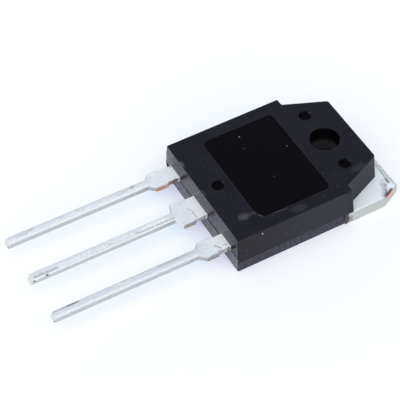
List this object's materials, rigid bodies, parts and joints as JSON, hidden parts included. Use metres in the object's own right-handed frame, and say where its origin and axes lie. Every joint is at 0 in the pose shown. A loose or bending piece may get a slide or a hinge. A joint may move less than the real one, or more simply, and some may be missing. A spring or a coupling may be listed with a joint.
{
  "type": "power transistor",
  "caption": "Flat moulded power transistor with a screw hole, a cut-corner metal mounting tab and straight plated leads that widen into shoulders at the body.",
  "frame": {"origin": "on the mounting hole's axis, at the back face", "axes": "+Z out of the front face along the mounting hole, +Y from the leads to the metal tab's end, +X to the right seen from the front with the leads down, towards the emitter lead"},
  "size_m": [0.0156, 0.04, 0.0047],
  "materials": {
    "molding_compound": "black filled epoxy, fine matt grain, with a smoother recessed marking field left bare",
    "plated_copper": "bright tin plating over copper, with bare copper where the frame was cut",
    "solder": "dull grey solder",
    "silicon": "polished dark grey silicon",
    "bond_aluminium": "bright drawn aluminium wire"
  },
  "bodies": {
    "root": {"molded_case": "molding_compound", "collector_frame": "plated_copper", "base_lead": "plated_copper", "emitter_lead": "plated_copper", "die_solder": "solder", "transistor_die": "silicon", "base_bond_wire": "bond_aluminium", "emitter_bond_wire_a": "bond_aluminium", "emitter_bond_wire_b": "bond_aluminium"}
  },
  "joints": []
}
